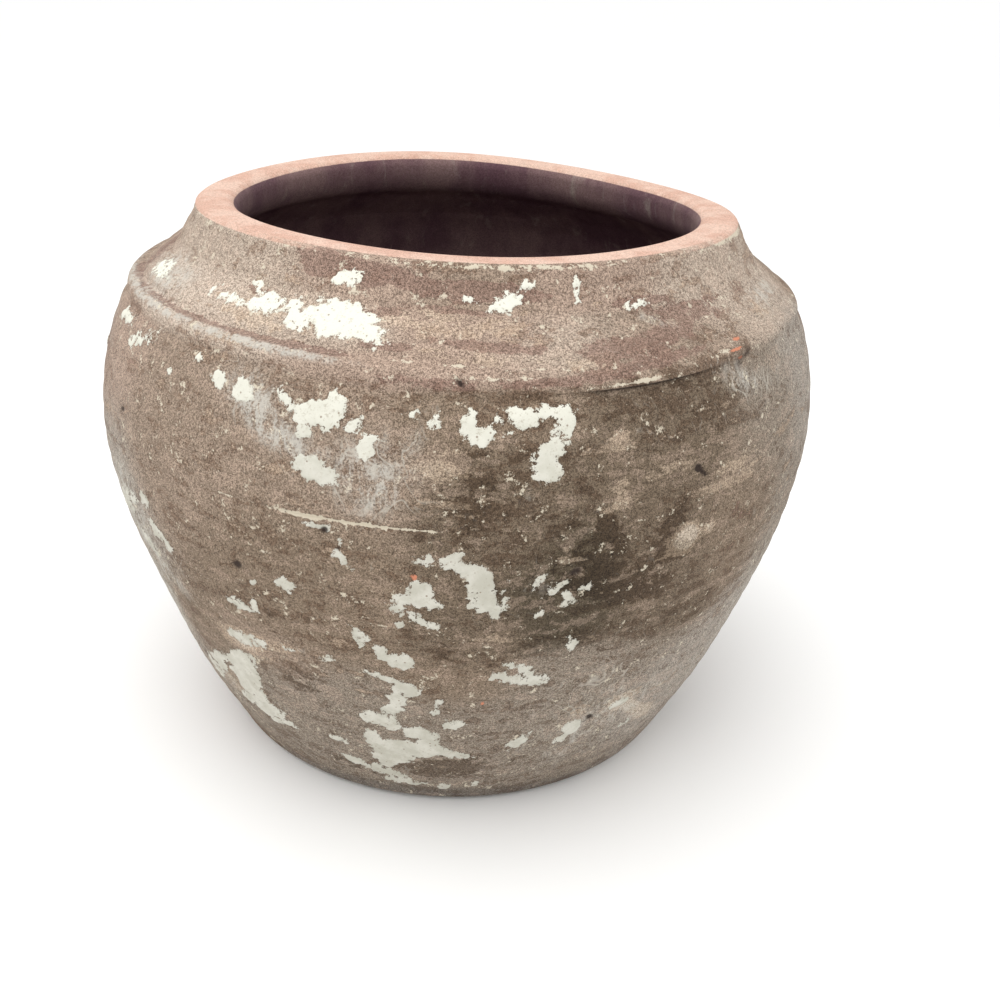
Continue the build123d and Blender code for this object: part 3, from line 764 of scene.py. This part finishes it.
def clay():
    """Fired clay: a brown skin with wear, a hazy wash, lines and crumbs of lime, painted shade in pits,
    crevices and grooves, a painted ridge highlight, a bare rim, a sooty inside.
    """
    s = Surface("weathered_terracotta", 0.9, 0.5)
    tone, _ = s.stored("tone")
    _, (pale, dark, purple) = s.stored("wear_and_shade")
    _, (haze_and_highlight, lines, bare) = s.stored("films_and_highlight")
    _, (pits, cover, zone) = s.stored("marks")
    ragged = s.noise(11, 9, 0.7, (1, 1, 1.5), 0.3)
    streaks = s.noise(30, 7, 0.64, (0.5, 0.5, 3.6), 0.4)
    mottle = s.noise(3.6, 6, 0.74)
    fine = s.noise(1.15, 3, 0.75)
    grain = s.noise(0.52, 2, 0.8)

    colour = tone
    sunk = s.sum((ragged, 0.9), (mottle, 0.32), (streaks, 0.5), (dark, 0.05), (pale, -0.05))
    colour = s.mix(s.ramp(sunk, 0.9, 0.93), colour, s.mix(1.0, colour, tint(220, 211, 206), "MULTIPLY"))
    raised = s.sum((ragged, -0.9), (mottle, 0.35), (streaks, -0.4), (pale, 0.06))
    skin = s.mix(0.3, colour, tint(212, 188, 170))
    colour = s.mix(s.ramp(raised, -0.42, -0.39, 0, 0.6), colour, skin)
    creamy = s.sum((pale, 0.2), (ragged, 0.8), (streaks, 0.9), (mottle, 0.2))
    colour = s.mix(s.ramp(creamy, 1.12, 1.16, 0, 0.8), colour, s.mix(0.45, colour, tint(214, 194, 171)))
    chalky = s.sum((pale, 1), (mottle, 1.2), (ragged, 1))
    colour = s.mix(s.ramp(chalky, 2.3, 3.0, 0, 0.65), colour, tint(198, 187, 172))
    umber = s.sum((dark, 0.1), (ragged, 0.95), (mottle, 0.32))
    darker = s.mix(1.0, colour, tint(196, 192, 184), "MULTIPLY")
    colour = s.mix(s.ramp(umber, 0.79, 0.82, 0, 0.65), colour, darker)
    # Purple stains, and along the groove above the left ridge a painted shade.
    plum = s.sum((purple, 0.34), (ragged, 0.5), (streaks, 0.5), (mottle, 0.4))
    colour = s.mix(s.ramp(plum, 0.88, 0.93, 0, 0.85), colour, s.mix(0.8, colour, tint(138, 112, 101)))
    specks = s.sum((grain, 0.6), (fine, 0.4))
    speckle = s.mix(s.ramp(specks, 0.38, 0.62), tint(156, 150, 146), tint(290, 288, 286))
    colour = s.mix(1.0, colour, speckle, "MULTIPLY")
    pepper = s.sum((s.noise(0.9, 2, 0.6), 1), (mottle, 0.25))
    colour = s.mix(s.ramp(pepper, 0.74, 0.79, 0, 0.6), colour, tint(84, 72, 62))
    wisps = s.sum((s.noise(7, 7, 0.72, (1, 1, 0.45), 1.0), 0.75), (fine, 0.4))
    # A whitish lime haze, and along the left ridge the same pale tint as a painted highlight.
    veil_and_highlight = s.math("MULTIPLY", haze_and_highlight, s.ramp(wisps, 0.46, 0.72, 0.12, 1.0))
    colour = s.mix(s.ramp(veil_and_highlight, 0.05, 1.05, 0, 0.8), colour, tint(188, 184, 175))
    thread = s.math("ABSOLUTE", s.math("SUBTRACT", s.noise(26, 3, 0.5, (1, 1, 0.55), 1.2), 0.5))
    scratched = s.ramp(s.sum((haze_and_highlight, 0.6), (streaks, 1)), 0.5, 0.9, 0, 0.5)
    scratch = s.math("MULTIPLY", s.ramp(thread, 0.002, 0.011, 1, 0), scratched)
    colour = s.mix(scratch, colour, tint(190, 184, 172))
    crumbs = s.sum((haze_and_highlight, 0.05), (mottle, 0.6), (fine, 0.6))
    colour = s.mix(s.ramp(crumbs, 0.76, 0.8, 0, 0.6), colour, tint(206, 198, 182))
    broken = s.sum((lines, 1), (s.noise(6, 4, 0.7), 3.2), (fine, 1.2))
    colour = s.mix(s.ramp(broken, 2.6, 2.8, 0, 0.85), colour, tint(206, 196, 176))
    colour = s.mix(s.ramp(s.sum((bare, 1), (fine, 0.9)), 0.85, 1.1), colour, tint(196, 128, 100))
    colour = s.mix(s.ramp(s.spots(7), 0.045, 0.08, 0.7, 0), colour, tint(74, 64, 56))
    lime_edge = s.sum((cover, 1), (fine, 1.6), (grain, 0.9))
    colour = s.mix(s.ramp(lime_edge, 1.2, 1.32), colour, lime_colour(s, fine, mottle))
    # Painted shade darkens the pits and the crevice under the collar's overlapping edge.
    colour = s.mix(s.ramp(pits, 0.25, 0.8, 0, 0.92), colour, tint(48, 38, 34))

    pink = s.mix(s.ramp(s.noise(18, 6, 0.65), 0.4, 0.6), tint(198, 163, 146), tint(209, 181, 165))
    pink = s.mix(s.ramp(s.sum((fine, 1), (mottle, 0.5)), 0.84, 0.95, 0, 0.55), pink, tint(196, 150, 130))
    worn_through = s.sum((ragged, 0.6), (mottle, 0.6), (fine, 0.3))
    pink = s.mix(s.ramp(worn_through, 0.86, 0.94, 0, 0.45), pink, tint(176, 142, 122))
    gritty = s.mix(s.ramp(specks, 0.38, 0.62), tint(222, 217, 214), tint(278, 277, 276))
    pink = s.mix(1.0, pink, gritty, "MULTIPLY")
    colour = s.mix(s.ramp(s.sum((zone, 1), (mottle, 0.5)), 0.55, 0.95), colour, pink)
    soot = s.mix(s.ramp(s.noise(40, 5, 0.6, (1, 1, 0.4)), 0.35, 0.65), tint(94, 68, 76), tint(124, 101, 100))
    runs = s.noise(14, 7, 0.7, (1.4, 1.4, 0.35), 0.6)
    soot = s.mix(s.ramp(runs, 0.56, 0.72, 0, 0.5), soot, tint(150, 140, 132))
    soot = s.mix(1.0, soot, gritty, "MULTIPLY")
    colour = s.mix(s.ramp(s.sum((zone, 1), (mottle, 0.5)), 1.35, 1.9), colour, soot)
    return s.finish(colour, s.sum((ragged, 0.5), (mottle, 0.4), (fine, 0.4), (grain, 0.2)))


def lime_colour(s, fine, mottle):
    """Chalky cream, painted lighter towards the shoulder where the overhead light falls, with stains and
    with brown pinholes where it has crumbled.
    """
    height = s.put("SeparateXYZ", {"Vector": s.place}).outputs["Z"]
    colour = s.mix(s.ramp(s.noise(9, 5, 0.6), 0.35, 0.65), tint(186, 183, 170), tint(204, 201, 190))
    # Painted light: the lime grows lighter from the seam up to the neck, standing in for the light from
    # above.
    colour = s.mix(s.ramp(height, SEAM_Z * MM, NECK_Z * MM), colour, tint(224, 223, 210))
    colour = s.mix(s.ramp(s.sum((fine, 0.6), (mottle, 0.5)), 0.58, 0.7, 0, 0.6), colour, tint(166, 157, 139))
    return s.mix(s.ramp(s.spots(4), 0.08, 0.15, 0.75, 0), colour, tint(128, 110, 92))


# ---------------------------------------------------------------- setting


def floor():
    mesh = bpy.data.meshes.new("floor")
    side = 60  # metres, so that its edge is out of sight
    corners = [(-side, -side, 0), (side, -side, 0), (side, side, 0), (-side, side, 0)]
    mesh.from_pydata(corners, [], [(0, 1, 2, 3)])
    ground = bpy.data.objects.new("floor", mesh)
    bpy.context.scene.collection.objects.link(ground)
    paper = bpy.data.materials.new("pale_floor")
    paper.use_nodes = True
    shader = paper.node_tree.nodes["Principled BSDF"]
    shader.inputs["Base Color"].default_value = (0.93, 0.93, 0.92, 1)
    shader.inputs["Roughness"].default_value = 0.9
    mesh.materials.append(paper)


def lamp(name, place, aim, size, watts, colour=(1, 1, 1)):
    data = bpy.data.lights.new(name, "AREA")
    data.shape, data.size, data.energy, data.color = "DISK", size, watts, colour
    made = bpy.data.objects.new(name, data)
    made.location = place
    look = Vector(aim) - Vector(place)
    made.rotation_mode = "QUATERNION"
    made.rotation_quaternion = look.to_track_quat("-Z", "Y")
    bpy.context.scene.collection.objects.link(made)


def studio():
    """A white room: even light all round, and a wide soft light overhead, a little to the front left."""
    world = bpy.data.worlds.new("white_room")
    world.use_nodes = True
    world.node_tree.nodes["Background"].inputs["Color"].default_value = (1, 1, 1, 1)
    world.node_tree.nodes["Background"].inputs["Strength"].default_value = 1.08
    bpy.context.scene.world = world
    lamp("overhead", (-0.35, -0.4, 1.7), (0, 0, 0.15), 1.8, 15)
    bpy.context.scene.view_settings.view_transform = "Standard"


def camera():
    """Stands in front of the pot and above it, looking down over the rim."""
    distance, above, turned, tipped = 0.6507, math.radians(25.87), math.radians(2.19), math.radians(1.73)
    aim_height = 0.1109
    forward = Vector((0, math.cos(above), -math.sin(above)))
    right = Vector((1, 0, 0))
    up = right.cross(forward)
    ahead = forward * math.cos(turned) + right * math.sin(turned)
    side = right * math.cos(turned) - forward * math.sin(turned)
    level = side * math.cos(tipped) + up * math.sin(tipped)
    top = up * math.cos(tipped) - side * math.sin(tipped)
    data = bpy.data.cameras.new("camera")
    data.sensor_width, data.lens, data.clip_start = 36, 40.5, 0.01
    made = bpy.data.objects.new("camera", data)
    facing = Matrix((level, top, -ahead)).transposed().to_4x4()
    stand = (0, -distance * math.cos(above), aim_height + distance * math.sin(above))
    made.matrix_world = Matrix.Translation(stand) @ facing
    bpy.context.scene.collection.objects.link(made)
    bpy.context.scene.camera = made


def main():
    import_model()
    clay_material = clay()
    for node, build in (("lower_body", lower_body), ("upper_body", upper_body), ("collar", collar)):
        made = build()
        made.data.materials.append(clay_material)
        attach(made, "root")
        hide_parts(node)
    flakes = limewash()
    flakes.data.materials.append(clay_material)
    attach(flakes, "root")
    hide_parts("limewash_flakes")
    floor()
    studio()
    camera()


main()
